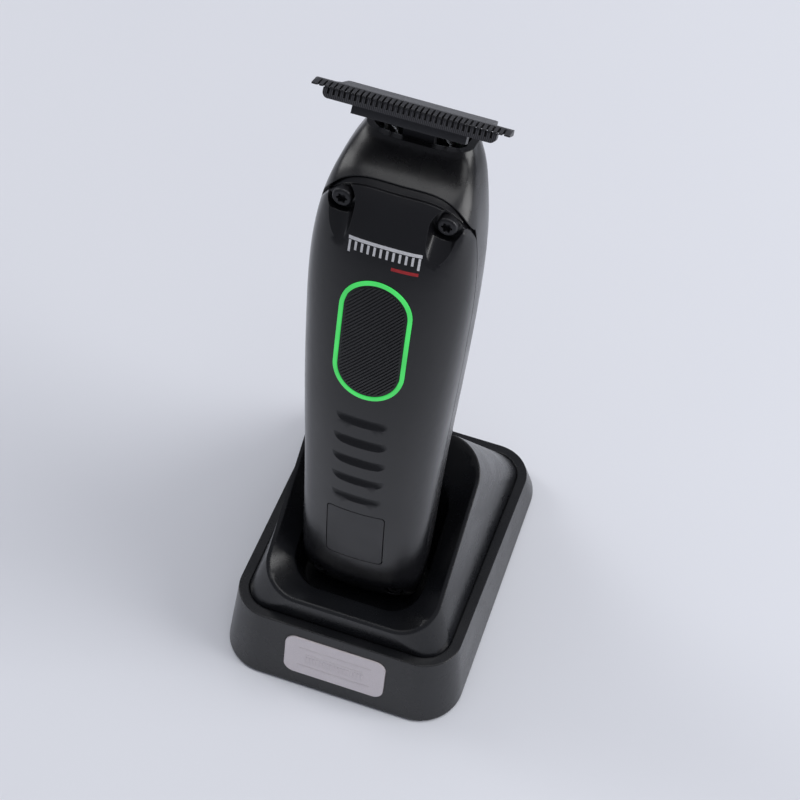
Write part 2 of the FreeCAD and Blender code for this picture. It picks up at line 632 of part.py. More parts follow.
def fixed_blade():
    """The wide toothed plate: bevelled tooth line in front, a smooth back, and stepped corners."""
    half, back, wing = "blade_half", "blade_back_half", "wing_depth"
    right = [(half, "0"), (half, wing), (back + " + step_corner * 0.6", wing),
             (back, wing + " + step_corner"), (back, "blade_depth - 0.6"), (back + " - 0.6", "blade_depth")]
    left = [("0 - " + x.replace(" + ", " - ") if " + " in x else "0 - " + x.replace(" - ", " + "), y)
            for x, y in reversed(right)]
    body = padded("fixed_blade", "XY_Plane", right + left, "blade_thick", back=True)
    pocketed(body, "YZ_Plane", [("0 - 1", "0 - bevel_drop - bevel_drop / bevel_depth"),
                                ("bevel_depth", "0"), ("bevel_depth", "1"), ("0 - 1", "1")],
             "blade_half * 3")
    count = int(2 * (S.blade_half - 0.6) / S.tooth_pitch)
    first = S.tooth_pitch * (count - 1) / 2
    slit = pocketed(body, "XY_Plane", [("0 - %r" % (first + S.tooth_gap / 2), "0 - 1"),
                                       ("0 - %r" % (first - S.tooth_gap / 2), "0 - 1"),
                                       ("0 - %r" % (first - S.tooth_gap / 2), "tooth_reach"),
                                       ("0 - %r" % (first + S.tooth_gap / 2), "tooth_reach")],
                    "blade_thick * 4")
    repeated(body, slit, count, S.tooth_pitch)
    keep(body, "fixed_blade", BLADE)


def moving_cutter():
    """The narrower toothed bar that slides under the fixed blade, with a thin flange behind."""
    top = S.blade_thick + S.cutter_gap
    low = top + S.cutter_tall
    front, lip = S.cutter_front, S.cutter_lip
    bar = block((-S.cutter_half, front, -low), (S.cutter_half, lip, -top))
    corners = [edge for edge in bar.Edges if abs(edge.CenterOfMass.z + low) < 1e-6
               and abs(abs(edge.CenterOfMass.x) - S.cutter_half) < 1e-6]
    bar = bar.makeFillet(S.cutter_corner, corners)
    flange = block((-S.cutter_back_half, lip - 0.5, -top - S.cutter_thin),
                   (S.cutter_back_half, S.cutter_depth, -top))
    cutter = joined([bar, flange])
    count = int(2 * (S.cutter_half - 0.5) / S.tooth_pitch)
    slits = []
    for number in range(count):
        x = (number - (count - 1) / 2) * S.tooth_pitch
        slits.append(block((x - S.tooth_gap / 2, front - 1, -top - S.cutter_slot),
                           (x + S.tooth_gap / 2, lip - 0.6, -top + 1)))
    return cutter.cut(slits[0].multiFuse(slits[1:]))


def blade_spot(y, z):
    """Where a point of the blade's frame is in the handset's frame, as y and z."""
    turn = math.radians(S.blade_turn)
    return (S.blade_y + y * math.cos(turn) + z * math.sin(turn),
            S.body_length + S.blade_rise - y * math.sin(turn) + z * math.cos(turn))


def in_blade_frame(shape):
    shape.Placement = HANDSET.inverse().multiply(BLADE)
    return shape


def cutter_carrier():
    """The driver: a bar under the cutter, an arm into the head, and a slot for the cam's pin."""
    under = S.blade_thick + S.cutter_gap + S.cutter_thin
    bar = block((-S.bar_half, S.bar_front, -S.bar_low), (S.bar_half, S.bar_front + S.bar_depth, -under))
    front, back = S.bar_front, S.bar_front + S.bar_depth
    top = S.body_length
    elbow = S.motor_y + 1.5
    foot = top - 13.0
    arm = strip([blade_spot(front + 0.4, -S.bar_low + 0.6), blade_spot(back, -S.bar_low + 1.2),
                 (elbow + 2.5, top + 3.1), (elbow + 2.5, foot), (elbow, foot), (elbow, top + 1.5),
                 blade_spot(front + 0.4, -S.bar_low)], S.tongue_half)
    wide = S.throw + S.pin_radius + S.stroke + 0.3
    reach = S.throw + S.pin_radius + 0.4
    yoke = block((-wide - 1.8, S.motor_y - reach - 1.4, foot - 6), (wide + 1.8, elbow + 2.5, foot + 0.5))
    slot = block((-wide, S.motor_y - reach, foot - 7), (wide, S.motor_y + reach, foot - 1.2))
    return joined([in_blade_frame(bar), arm, yoke.cut(slot)])


def upright_sheet(x, levels):
    """A bent cheek of the bracket: a ruled strip through (inner x, front y, back y, z) levels."""
    wires = []
    for inner, front, back, z in levels:
        ends = (inner, inner + math.copysign(S.bracket_sheet, x))
        corners = [Vector(ends[0], front, z), Vector(ends[1], front, z), Vector(ends[1], back, z),
                   Vector(ends[0], back, z)]
        wires.append(Part.makePolygon(corners + corners[:1]))
    return Part.makeLoft(wires, True, True)


def blade_bracket():
    """The bright bent bracket that carries the fixed blade on the head."""
    low, metal = S.blade_thick, S.bracket_sheet
    top = S.body_length
    plate = in_blade_frame(block((-S.bracket_half, S.bracket_inner, -low - metal),
                                 (S.bracket_half, S.blade_depth - 0.4, -low)))
    front, up = blade_spot(S.bracket_inner + 0.3, -low - metal * 0.6)
    back, _ = blade_spot(S.blade_depth - 0.6, -low - metal * 0.6)
    neck = S.motor_y + 2.8
    cheeks = []
    for side in (-1, 1):
        wide, waist = side * (S.bracket_half - metal), side * (S.bracket_waist - metal)
        cheeks.append(upright_sheet(side, [(wide, front, back, up - 1.2), (wide, front, back, up - 2.2),
                                           (waist, neck, neck + 3.4, top + 0.4),
                                           (waist, neck, neck + 3.4, top - 7.5)]))
    foot = block((-S.bracket_waist, neck + 2.4, top - 13), (S.bracket_waist, neck + 3.4, top - 7))
    metal_piece = joined([plate] + cheeks + [foot])
    for x in (-6, 6):
        hole = rod(1.15, 4, (x, S.bracket_inner + 2, -low - 2), (0, 0, 1))
        metal_piece = metal_piece.cut(in_blade_frame(hole))
    return metal_piece


def blade_screws():
    pieces = []
    for x in (-6, 6):
        one = screw(1.9, 1.2, 1.1, S.bracket_sheet)
        pieces.append(placed(one, (x, S.bracket_inner + 2, -S.blade_thick - S.bracket_sheet), (0, 0, -1)))
    return Part.makeCompound(pieces)


def bent_wire(points, radius):
    """Round wire along straight runs with a ball at each bend."""
    pieces = []
    for low, high in zip(points[:-1], points[1:]):
        way = Vector(*high) - Vector(*low)
        pieces.append(rod(radius, way.Length, low, way))
    pieces += [Part.makeSphere(radius, Vector(*spot)) for spot in points[1:-1]]
    return joined(pieces)


def tension_spring():
    """The wire spring on the bracket's foot that presses the cutter to the fixed blade."""
    tip_y, tip_z = blade_spot(S.bar_front + S.bar_depth + 0.9, -S.bar_low + 1.5)
    behind = S.motor_y + 2.8 + 3.4 + 0.6
    top = S.body_length
    points = []
    for side in (-1, 1):
        leg = [(side * 6.5, tip_y, tip_z), (side * 6.5, behind, top - 4), (side * 6.5, behind, top - 10)]
        points += leg if side < 0 else leg[::-1]
    return bent_wire(points, 0.4)


def blade_set():
    fixed_blade()
    solid_node("moving_cutter", moving_cutter(), BLADE)
    solid_node("cutter_carrier", cutter_carrier(), HANDSET)
    solid_node("blade_bracket", blade_bracket(), HANDSET)
    solid_node("blade_screws", blade_screws(), BLADE)
    solid_node("tension_spring", tension_spring(), HANDSET)


# ---------------------------------------------------------------- dock
def tilted_outline(half, front, back, corner, grow=0.0, lift=0.0):
    """A rounded rectangle on the slope from a front point to a back point, both (y, z)."""
    run, rise = back[0] - front[0], back[1] - front[1]
    slope = math.atan2(rise, run)
    length = math.hypot(run, rise)
    middle = Vector(0, (front[0] + back[0]) / 2, (front[1] + back[1]) / 2)
    middle += Vector(0, -math.sin(slope), math.cos(slope)) * lift
    frame = Placement(middle, Rotation(TURN_X, math.degrees(slope)))
    return outline(half + grow, -length / 2 - grow, length / 2 + grow, corner + grow, frame)


def loft(wires, ruled=True):
    return Part.makeLoft(wires, True, ruled)


def base_line(grow=0.0, height=None):
    """The dock's outline at its lower edge, or at another height."""
    height = S.foot_proud if height is None else height
    flat = Placement(Vector(0, 0, height), Rotation())
    return outline(S.dock_half_x + grow, -S.dock_half_y - grow, S.dock_half_y + grow,
                   S.dock_corner + grow, flat)


def rim_line(grow=0.0, lift=0.0):
    return tilted_outline(S.rim_half_x, (S.rim_front_y, S.rim_front_z), (S.rim_back_y, S.rim_back_z),
                          S.rim_corner, grow, lift)


def mouth_line(grow=0.0, lift=0.0):
    return tilted_outline(S.mouth_half, (S.mouth_front_y, S.mouth_front_z),
                          (S.mouth_back_y, S.mouth_back_z), S.mouth_corner, grow, lift)


def pocket_line(grow=0.0):
    return tilted_outline(S.pocket_half, (S.pocket_front_y, S.pocket_front_z),
                          (S.pocket_back_y, S.pocket_back_z), S.pocket_corner, grow)


def floor_line(grow=0.0):
    """The pocket's floor, square to the leaning handset."""
    seat = HANDSET.multiply(Placement(Vector(0, 0, -S.floor_drop - grow), Rotation()))
    return outline(S.floor_half + grow, S.floor_front - grow, S.floor_back + grow,
                   S.floor_corner + grow, seat)


def well(grow=0.0):
    """The space inside the dock that takes the handset: a flared mouth over a fitted pocket."""
    upper = loft([mouth_line(grow, 6.0), mouth_line(grow, 0.0)])
    throat = loft([mouth_line(grow), pocket_line(grow)])
    pocket = loft([pocket_line(grow), floor_line(grow)])
    return upper.fuse(throat).fuse(pocket)


def dock_cover():
    """The upper shell: sloping sides, a rising mouth, and the pocket that hangs inside it."""
    foot = rim_line(-S.ledge - S.fit_gap)
    sides = loft([foot, mouth_line(S.mouth_lip)])
    inside = loft([rim_line(-S.ledge - S.fit_gap - S.dock_wall), mouth_line(S.mouth_lip - S.dock_wall)])
    skirt = loft([rim_line(-S.ledge - S.fit_gap, -S.skirt), foot])
    skirt = skirt.cut(loft([rim_line(-S.ledge - S.fit_gap - S.dock_wall, -S.skirt - 0.1),
                            rim_line(-S.ledge - S.fit_gap - S.dock_wall, 0.1)]))
    below = loft([rim_line(-S.ledge - 6, -14), rim_line(-S.ledge - 6, 0.1)])
    cup = well(S.dock_wall).common(sides.fuse(below))
    shell = sides.cut(inside).fuse(skirt).fuse(cup)
    shell = shell.cut(well())
    for side in (-1, 1):
        shell = shell.cut(probe_hole(side, S.probe_radius + S.fit_gap, -12, 0))
    return shell.removeSplitter()


def probe_hole(side, radius, low, high):
    """A round hole along a charging pin, in the dock's frame."""
    hole = rod(radius, high - low, (side * S.contact_x, S.contact_y, low), (0, 0, 1))
    hole.Placement = HANDSET
    return hole


def front_face_frame(x=0.0, up=0.0):
    """A frame on the dock's front wall: X along it, Z up it, -Y out of it."""
    run, rise = S.rim_front_y + S.dock_half_y, S.rim_front_z - S.foot_proud
    slope = math.atan2(run, rise)
    spot = Vector(x, -S.dock_half_y + up * math.sin(slope), S.foot_proud + up * math.cos(slope))
    return Placement(spot, Rotation(TURN_X, -math.degrees(slope)))


def badge_blank(grow, depth, proud):
    """A rounded plate let into the dock's front wall."""
    half, tall = S.badge_half + grow, S.badge_height / 2 + grow
    frame = front_face_frame(0, S.badge_low + S.badge_height / 2)
    lying = frame.multiply(Placement(Vector(0, depth, 0), Rotation(TURN_X, 90)))
    face = Part.Face(outline(half, -tall, tall, S.badge_corner + grow, lying))
    return face.extrude(frame.Rotation.multVec(Vector(0, -depth - proud, 0)))


def dock_housing():
    """The lower shell, open above and below, with the badge recess and the inlet."""
    shell = loft([base_line(), rim_line()]).cut(loft([base_line(-S.ledge, S.foot_proud - 0.1),
                                                      rim_line(-S.ledge, 0.1)]))
    boss = block((-S.inlet_boss, S.rim_back_y - 2.0, S.rim_back_z - 3),
                 (S.inlet_boss, S.rim_back_y - 0.3, S.rim_back_z + 1.6))
    lugs = []
    for x, y in corners_of(S.base_screw_x, S.base_screw_y):
        wall = math.copysign(S.dock_half_x - S.ledge, x)
        low_x, high_x = sorted((x - math.copysign(2.6, x), wall))
        lug = block((low_x, y - 2.6, S.foot_proud + S.plate_thick + 0.05), (high_x, y + 2.6, 7.5))
        lugs.append(lug.cut(rod(S.base_screw_radius - 0.05, 10, (x, y, 0), (0, 0, 1))))
    shell = shell.fuse([boss] + lugs)
    shell = shell.cut(badge_blank(0.1, S.badge_thick - 0.3, 5))
    hole = block((-S.inlet_half - 0.1, S.dock_half_y - 6, S.inlet_z - S.inlet_height / 2 - 0.1),
                 (S.inlet_half + 0.1, S.dock_half_y + 1, S.inlet_z + S.inlet_height / 2 + 0.1))
    return shell.cut(hole).removeSplitter()


def base_plate():
    """The plate that closes the dock underneath, with recesses for the feet and screw holes."""
    low, high = S.foot_proud, S.foot_proud + S.plate_thick
    plate = Part.Face(base_line(-S.ledge - S.plate_gap, low)).extrude(Vector(0, 0, high - low))
    for x, y in corners_of(S.foot_x, S.foot_y):
        recess = rod(S.foot_radius + 0.05, S.foot_thick - S.foot_proud, (x, y, low - 0.001), (0, 0, 1))
        plate = plate.cut(recess)
    for x, y in corners_of(S.base_screw_x, S.base_screw_y):
        plate = plate.cut(rod(S.base_screw_radius + 0.1, 10, (x, y, 0), (0, 0, 1)))
        plate = plate.cut(rod(2.6, 1.25, (x, y, low - 0.01), (0, 0, 1)))
    return plate


def corners_of(x, y):
    return [(side * x, end * y) for side in (-1, 1) for end in (-1, 1)]


def feet():
    pads = []
    for x, y in corners_of(S.foot_x, S.foot_y):
        pad = rod(S.foot_radius, S.foot_thick - 0.02, (x, y, 0), (0, 0, 1))
        rim = [edge for edge in pad.Edges if edge.Curve.TypeId == "Part::GeomCircle"
               and abs(edge.CenterOfMass.z) < 1e-6]
        pads.append(pad.makeFillet(0.4, rim))
    return Part.makeCompound(pads)


def base_screws():
    one = screw(2.4, 1.1, S.base_screw_radius - 0.1, 4.0)
    low = S.foot_proud + 1.2
    return Part.makeCompound([placed(one, (x, y, low), (0, 0, -1))
                              for x, y in corners_of(S.base_screw_x, S.base_screw_y)])


def inlet_socket():
    """The charging inlet: a flat-sided shell with a contact tongue, open to the back."""
    deep = S.inlet_depth
    high = S.inlet_height / 2
    back = S.dock_half_y - 1.6
    lying = Placement(Vector(0, back, S.inlet_z), Rotation(TURN_X, 90))
    shell = Part.Face(outline(S.inlet_half, -high, high, high - 0.15, lying)).extrude(Vector(0, -deep, 0))
    bore = Part.Face(outline(S.inlet_half - 0.4, -high + 0.4, high - 0.4, high - 0.5, lying)
                     ).extrude(Vector(0, -deep + 1.5, 0))
    tongue = block((-S.inlet_half + 1.4, back - deep + 1, S.inlet_z - 0.35),
                   (S.inlet_half - 1.4, back - 1, S.inlet_z + 0.35))
    return joined([shell.cut(bore), tongue])


def probe(side):
    """One spring-loaded charging pin, in the handset's frame."""
    top = -S.probe_gap
    spot = (side * S.contact_x, S.contact_y, top - S.probe_length)
    stem = rod(S.probe_radius, S.probe_length, spot, (0, 0, 1))
    rim = [edge for edge in stem.Edges if edge.Curve.TypeId == "Part::GeomCircle"
           and abs(edge.CenterOfMass.z - top) < 1e-6]
    stem = stem.makeFillet(0.5, rim)
    collar = rod(S.probe_collar, 0.8, (spot[0], spot[1], collar_low()), (0, 0, 1))
    return joined([stem, collar])


def collar_low():
    return -S.floor_drop - S.dock_wall - 1.2


def probe_spring(side):
    """The coil under a pin's collar, drawn at its pressed length."""
    coil = S.wire * 2
    turns = []
    for number in range(4):
        level = collar_low() - S.wire - number * (coil + 0.05)
        turns.append(Part.makeTorus(S.probe_radius + S.wire, S.wire * 0.85,
                                    Vector(side * S.contact_x, S.contact_y, level), Vector(0, 0, 1)))
    post = block((side * S.contact_x - 0.15, S.contact_y + S.probe_radius + 0.05,
                  collar_low() - 4 * coil),
                 (side * S.contact_x + 0.15, S.contact_y + S.probe_collar - 0.05, collar_low()))
    return joined(turns + [post])


def probe_guide():
    """The block under the pocket's floor that guides the pins and seats their springs."""
    high = -S.floor_drop - S.dock_wall - 0.05
    low = high - S.guide_height
    body = block((-S.guide_half_x, S.contact_y - S.guide_half_y, low),
                 (S.guide_half_x, S.contact_y + S.guide_half_y, high))
    for side in (-1, 1):
        spot = (side * S.contact_x, S.contact_y)
        body = body.cut(rod(S.probe_radius + 0.08, 30, (*spot, low - 1), (0, 0, 1)))
        body = body.cut(rod(S.probe_collar + 0.25, 30, (*spot, low + 1.5), (0, 0, 1)))
    return body


def dock_board():
    board = block((-S.dock_board_half, S.dock_half_y - 8 - S.dock_board_length, S.dock_board_z),
                  (S.dock_board_half, S.dock_half_y - 5.2, S.dock_board_z + 0.8))
    return board


def charging_dock():
    solid_node("dock_housing", dock_housing())
    solid_node("dock_cover", dock_cover())
    solid_node("base_plate", base_plate())
    solid_node("rubber_feet", feet())
    solid_node("base_screws", base_screws())
    solid_node("badge_plate", badge_blank(0.0, S.badge_thick - 0.35, 0.35))
    solid_node("inlet_socket", inlet_socket())
    solid_node("dock_board", dock_board())
    solid_node("pin_guide", probe_guide(), HANDSET)
    solid_node("charge_pins", Part.makeCompound([probe(-1), probe(1)]), HANDSET)
    solid_node("pin_springs", Part.makeCompound([probe_spring(-1), probe_spring(1)]), HANDSET)


# ---------------------------------------------------------------- build, check and write
handset_outside()
side_controls()
handset_inside()
charge_end()
blade_set()
charging_dock()
doc.recompute()

for item in doc.Objects:
    if {"Invalid", "Error"} & set(item.State):
        raise ValueError(item.Label + " failed to build")
os.makedirs("parts", exist_ok=True)
for item in nodes:
    if item.Shape.isNull() or not item.Shape.isValid() or not item.Shape.Solids:
        raise ValueError(item.Label + " has no valid solid")
    print("%-18s %2d solids %10.1f mm3" % (item.Label, len(item.Shape.Solids), item.Shape.Volume))
    item.Shape.exportStep("parts/%s.step" % item.Label)
print(len(nodes), "nodes")
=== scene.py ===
# %% [markdown]
# # A hair clipper standing in its charging dock
#
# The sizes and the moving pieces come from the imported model, which is loaded first and never
# changed. What is left to do here is the looks: finishes for every piece, the printed and
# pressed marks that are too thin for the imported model, and a studio to see it in. Everything
# is in metres. The dock stands on the floor at z = 0 and the front faces -Y.

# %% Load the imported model
import json
import math
import bmesh
import bpy
from mathutils import Matrix, Vector
from mathutils.bvhtree import BVHTree


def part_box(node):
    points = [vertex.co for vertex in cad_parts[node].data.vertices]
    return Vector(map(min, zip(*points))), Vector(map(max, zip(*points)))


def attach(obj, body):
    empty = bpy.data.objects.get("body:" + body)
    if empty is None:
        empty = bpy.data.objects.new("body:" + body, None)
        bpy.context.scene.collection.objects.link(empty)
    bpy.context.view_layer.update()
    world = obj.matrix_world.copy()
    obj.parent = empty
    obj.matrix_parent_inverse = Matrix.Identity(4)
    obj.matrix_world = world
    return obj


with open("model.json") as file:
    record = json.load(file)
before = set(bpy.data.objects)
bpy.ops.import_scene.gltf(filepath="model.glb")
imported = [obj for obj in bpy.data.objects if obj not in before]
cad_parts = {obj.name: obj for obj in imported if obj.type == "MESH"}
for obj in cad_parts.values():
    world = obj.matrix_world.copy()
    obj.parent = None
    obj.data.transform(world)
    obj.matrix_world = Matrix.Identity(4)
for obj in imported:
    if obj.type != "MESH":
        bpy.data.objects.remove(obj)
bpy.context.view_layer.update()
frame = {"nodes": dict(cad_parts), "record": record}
nodes = frame["nodes"]

# %% [markdown]
# ## The handset's own frame
#
# The handset leans back in the dock, so its marks are easiest to lay out as if it stood
# upright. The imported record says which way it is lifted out: that direction is the handset's
# own upward axis, and the button's travel is its own backward axis. With the two of them any
# point given as across, back and up can be put in its real place.

# %% Find the handset's axes
JOINTS = {joint["name"]: joint for joint in frame["record"]["behaviour"]["joints"]}
LIFT_BEHIND_SEAT = 0.003
UP = Vector(JOINTS["clipper_lift"]["axis"]).normalized()
BACK = Vector(JOINTS["power_press"]["axis"]).normalized()
SEAT = Vector(JOINTS["clipper_lift"]["pos_m"]) - BACK * LIFT_BEHIND_SEAT
print("handset leans back", round(math.degrees(math.acos(UP.z)), 2), "degrees")


def in_handset(across, back, up):
    """The real place of a point given in the handset's own frame."""
    return SEAT + Vector((across, 0, 0)) + BACK * back + UP * up


# %% [markdown]
# ## Shader helpers
#
# A finish here is a Principled shader with a few texture nodes around it. Three things recur:
# a fine grain that bends the light, a slower noise that makes some places duller than others,
# and a mask that is bright on edges. On the plastics that mask paints the edges pale: partly
# wear, partly a painted highlight along the rounded edges. The edge mask compares the true
# normal with the Bevel node's rounded normal: they differ only near an edge, so one minus
# their dot product lights up there. All patterns read Object coordinates, and every piece's
# own place is in its mesh, so the patterns stay put when the piece moves.

# %% Node helpers
def add_node(tree, kind, settings=None, inputs=None):
    """A node with its settings and its input values filled in."""
    made = tree.nodes.new(kind)
    for name, value in (settings or {}).items():
        setattr(made, name, value)
    for name, value in (inputs or {}).items():
        made.inputs[name].default_value = value
    return made


def start_finish(name, rough, metallic=0.0):
    """A material with its tree, its shader and the coordinates that its patterns read."""
    material = bpy.data.materials.new(name)
    material.use_nodes = True
    tree = material.node_tree
    shader = tree.nodes["Principled BSDF"]
    shader.inputs["Roughness"].default_value = rough
    shader.inputs["Metallic"].default_value = metallic
    place = add_node(tree, "ShaderNodeTexCoord").outputs["Object"]
    return material, tree, shader, place


def noise_of(tree, place, per_metre, detail=3.0):
    """A noise pattern with so many cells to the metre."""
    noise = add_node(tree, "ShaderNodeTexNoise", inputs={"Scale": per_metre, "Detail": detail})
    tree.links.new(place, noise.inputs["Vector"])
    return noise.outputs["Fac"]


def ranged(tree, value, low, high, start=0.3, stop=0.7):
    """A pattern's values stretched to run from low to high."""
    spread = add_node(tree, "ShaderNodeMapRange",
                      inputs={"From Min": start, "From Max": stop, "To Min": low, "To Max": high})
    tree.links.new(value, spread.inputs["Value"])
    return spread.outputs["Result"]


def mixed(tree, factor, one, other):
    """A colour between two colours, by a factor that a node gives."""
    mix = add_node(tree, "ShaderNodeMix", {"data_type": "RGBA"})
    tree.links.new(factor, mix.inputs["Factor"])
    for socket, colour in (("A", one), ("B", other)):
        target = [item for item in mix.inputs if item.name == socket and item.type == "RGBA"][0]
        if isinstance(colour, tuple):
            target.default_value = (*colour, 1.0)
        else:
            tree.links.new(colour, target)
    return [item for item in mix.outputs if item.type == "RGBA"][0]


def softened_normal(tree, radius):
    """The normal as if every sharp edge were rounded by a radius."""
    return add_node(tree, "ShaderNodeBevel", {"samples": 4}, {"Radius": radius}).outputs["Normal"]


def edge_mask(tree, soft_normal, strength):
    """Bright on edges, dark on flat and gently curved faces."""
    true_normal = add_node(tree, "ShaderNodeNewGeometry").outputs["Normal"]
    dot = add_node(tree, "ShaderNodeVectorMath", {"operation": "DOT_PRODUCT"})
    tree.links.new(soft_normal, dot.inputs[0])
    tree.links.new(true_normal, dot.inputs[1])
    return ranged(tree, dot.outputs["Value"], strength, 0.0, 0.80, 0.995)


def bumped(tree, height, depth, strength, normal=None):
    """A bump of so many metres from a height pattern."""
    bump = add_node(tree, "ShaderNodeBump", inputs={"Distance": depth, "Strength": strength})
    tree.links.new(height, bump.inputs["Height"])
    if normal is not None:
        tree.links.new(normal, bump.inputs["Normal"])
    return bump.outputs["Normal"]


print("helpers ready")

# %% [markdown]
# ## Moulded plastic
#
# Nearly everything outside is black moulded plastic, but it isn't one black. The cover is
# polished, the body satin, the dock slightly duller and the button dull and dry. One function
# makes them all, so that they look like one family, and four numbers set them apart: how rough
# the skin is, how much that varies, how coarse the grain is and how deep it goes.

# %% Moulded plastic
def moulded_plastic(name, colour, rough, vary=0.05, grain=2600, grain_depth=1.2e-5, edge_wear_and_highlight=0.35,
                    edge=2.5e-4):
    """Injection-moulded plastic with a sparked grain, and pale edges: partly polished by handling,
    partly a painted highlight.
    """
    material, tree, shader, place = start_finish(name, rough)
    soft = softened_normal(tree, edge)
    cloudy = noise_of(tree, place, 55)
    darker = tuple(0.86 * channel for channel in colour)
    lighter = tuple(1.18 * channel for channel in colour)
    ground = mixed(tree, ranged(tree, cloudy, 0.0, 1.0), darker, lighter)
    # The pale edge colour is partly wear and partly a painted highlight along the rounded edges.
    worn_and_highlit_edge = tuple(min(1.0, 2.0 * channel + 0.008) for channel in colour)
    base = mixed(tree, edge_mask(tree, soft, edge_wear_and_highlight), ground, worn_and_highlit_edge)
    tree.links.new(base, shader.inputs["Base Color"])
    smears = noise_of(tree, place, 130, 5.0)
    tree.links.new(ranged(tree, smears, rough - vary, rough + vary), shader.inputs["Roughness"])
    grained = bumped(tree, noise_of(tree, place, grain, 2.0), grain_depth, 0.35, soft)
    tree.links.new(grained, shader.inputs["Normal"])
    return material


FINISHES = {
    "black_satin": moulded_plastic("black_satin", (0.0065, 0.0065, 0.0075), 0.27, 0.04, 3600, 3e-6),
    "black_gloss": moulded_plastic("black_gloss", (0.0060, 0.0060, 0.0072), 0.24, 0.03, 3800, 2e-6),
    "dock_black": moulded_plastic("dock_black", (0.0060, 0.0065, 0.0080), 0.27, 0.04, 3000, 3e-6,
                                  edge=6e-4),
    "rib_black": moulded_plastic("rib_black", (0.014, 0.014, 0.016), 0.50, 0.05, 3000, 8e-6, 0.6,
                                 1e-4),
    "window_dark": moulded_plastic("window_dark", (0.012, 0.012, 0.014), 0.36, 0.04, 3000, 4e-6),
    "part_black": moulded_plastic("part_black", (0.022, 0.022, 0.024), 0.50),
    "inner_grey": moulded_plastic("inner_grey", (0.035, 0.036, 0.040), 0.45),
    "lamp_white": moulded_plastic("lamp_white", (0.78, 0.79, 0.76), 0.35),
    "foot_rubber": moulded_plastic("foot_rubber", (0.020, 0.020, 0.021), 0.80, 0.06, 1800, 3e-5),
}
print("moulded finishes:", ", ".join(FINISHES))

# %% [markdown]
# ## Metal
#
# The blades are ground steel with a black coat: dark, but metallic enough for a sheen along
# the grinding lines. The bracket under them is bare and bright. Metal is told apart from
# plastic by its scratches more than by its colour, so the lines are the main thing: a noise
# stretched a hundredfold along one axis looks like brushing, and a Wave texture across the
# cutter looks like the comb of fine grooves that a grinding wheel leaves.

# %% Brushed and ground metal
def brushed_metal(name, colour, rough, along=(1.0, 40.0, 40.0), metallic=1.0):
    """Metal with fine lines; along is small on the axis that the lines follow."""
    material, tree, shader, place = start_finish(name, rough, metallic)
    soft = softened_normal(tree, 1.5e-4)
    stretch = add_node(tree, "ShaderNodeMapping", inputs={"Scale": along})
    tree.links.new(place, stretch.inputs["Vector"])
    lines = noise_of(tree, stretch.outputs["Vector"], 90, 4.0)
    duller = tuple(0.78 * channel for channel in colour)
    ground = mixed(tree, ranged(tree, lines, 0.0, 1.0), duller, colour)
    bare = tuple(min(1.0, 1.5 * channel + 0.05) for channel in colour)
    base = mixed(tree, edge_mask(tree, soft, 0.6), ground, bare)
    tree.links.new(base, shader.inputs["Base Color"])
    tree.links.new(ranged(tree, lines, rough - 0.08, rough + 0.10), shader.inputs["Roughness"])
    tree.links.new(bumped(tree, lines, 4e-6, 0.5, soft), shader.inputs["Normal"])
    return material


def grooved_metal(name, colour, rough, pitch):
    """Coated steel with upright grinding grooves at a pitch along X."""
    material, tree, shader, place = start_finish(name, rough, 0.55)
    soft = softened_normal(tree, 1e-4)
    wave = add_node(tree, "ShaderNodeTexWave", {"bands_direction": "X"},
                    {"Scale": 2 * math.pi / (20 * pitch), "Distortion": 0.4, "Detail": 1.0})
    tree.links.new(place, wave.inputs["Vector"])
    lighter = tuple(3.0 * channel for channel in colour)
    ground = mixed(tree, wave.outputs["Fac"], colour, lighter)
    tree.links.new(ground, shader.inputs["Base Color"])
    tree.links.new(ranged(tree, noise_of(tree, place, 900), rough - 0.06, rough + 0.08),
                   shader.inputs["Roughness"])
    tree.links.new(bumped(tree, wave.outputs["Fac"], 6e-5, 0.6, soft), shader.inputs["Normal"])
    return material


TURNED = (20.0, 20.0, 2.0)
DRAWN = (20.0, 20.0, 1.0)
GROOVE_PITCH = 4.2e-4
FINISHES.update({
    "blade_black": brushed_metal("blade_black", (0.040, 0.040, 0.044), 0.42, metallic=0.5),
    "cutter_black": grooved_metal("cutter_black", (0.030, 0.030, 0.033), 0.42, GROOVE_PITCH),
    "screw_black": brushed_metal("screw_black", (0.026, 0.026, 0.029), 0.34, TURNED, 0.5),
    "bright_steel": brushed_metal("bright_steel", (0.62, 0.63, 0.66), 0.26),
    "spring_steel": brushed_metal("spring_steel", (0.50, 0.51, 0.53), 0.30, DRAWN),
    "contact_gold": brushed_metal("contact_gold", (0.80, 0.58, 0.24), 0.25, TURNED),
})
print("metals ready")

# %% [markdown]
# ## The lit ring
#
# The ring round the power button is clear green plastic with lamps behind it. Seen in a bright
# room it isn't a glare: it is a strong flat green with a hint of hot spots where the lamps are.
# Emission gives the flat green, and a slow noise lifts it a little here and there.

# %% The lit ring
def lit_plastic(name, colour, glow):
    """Translucent plastic lit from behind."""
    material, tree, shader, place = start_finish(name, 0.32)
    spots = noise_of(tree, place, 160, 1.0)
    dim = tuple(0.80 * channel for channel in colour)
    light = mixed(tree, ranged(tree, spots, 0.0, 1.0), dim, colour)
    tree.links.new(light, shader.inputs["Emission Color"])
    shader.inputs["Emission Strength"].default_value = glow
    shader.inputs["Base Color"].default_value = (*tuple(0.35 * channel for channel in colour), 1.0)
    soft = softened_normal(tree, 3e-4)
    ripple = bumped(tree, noise_of(tree, place, 1500), 6e-6, 0.3, soft)
    tree.links.new(ripple, shader.inputs["Normal"])
    return material


FINISHES["lit_green"] = lit_plastic("lit_green", (0.060, 0.66, 0.125), 0.90)
print("lit ring ready")

# %% [markdown]
# ## The small inner parts
#
# The boards, the cell and the badge plate each need one finish of their own. A board's green
# lacquer shows copper tracks as slightly raised, paler lines: a Brick texture gives straight
# runs with gaps. The cell has a shrunk plastic sleeve with faint creases. The badge is metal
# that was blasted with fine grit, so its light scatters from tiny pits.

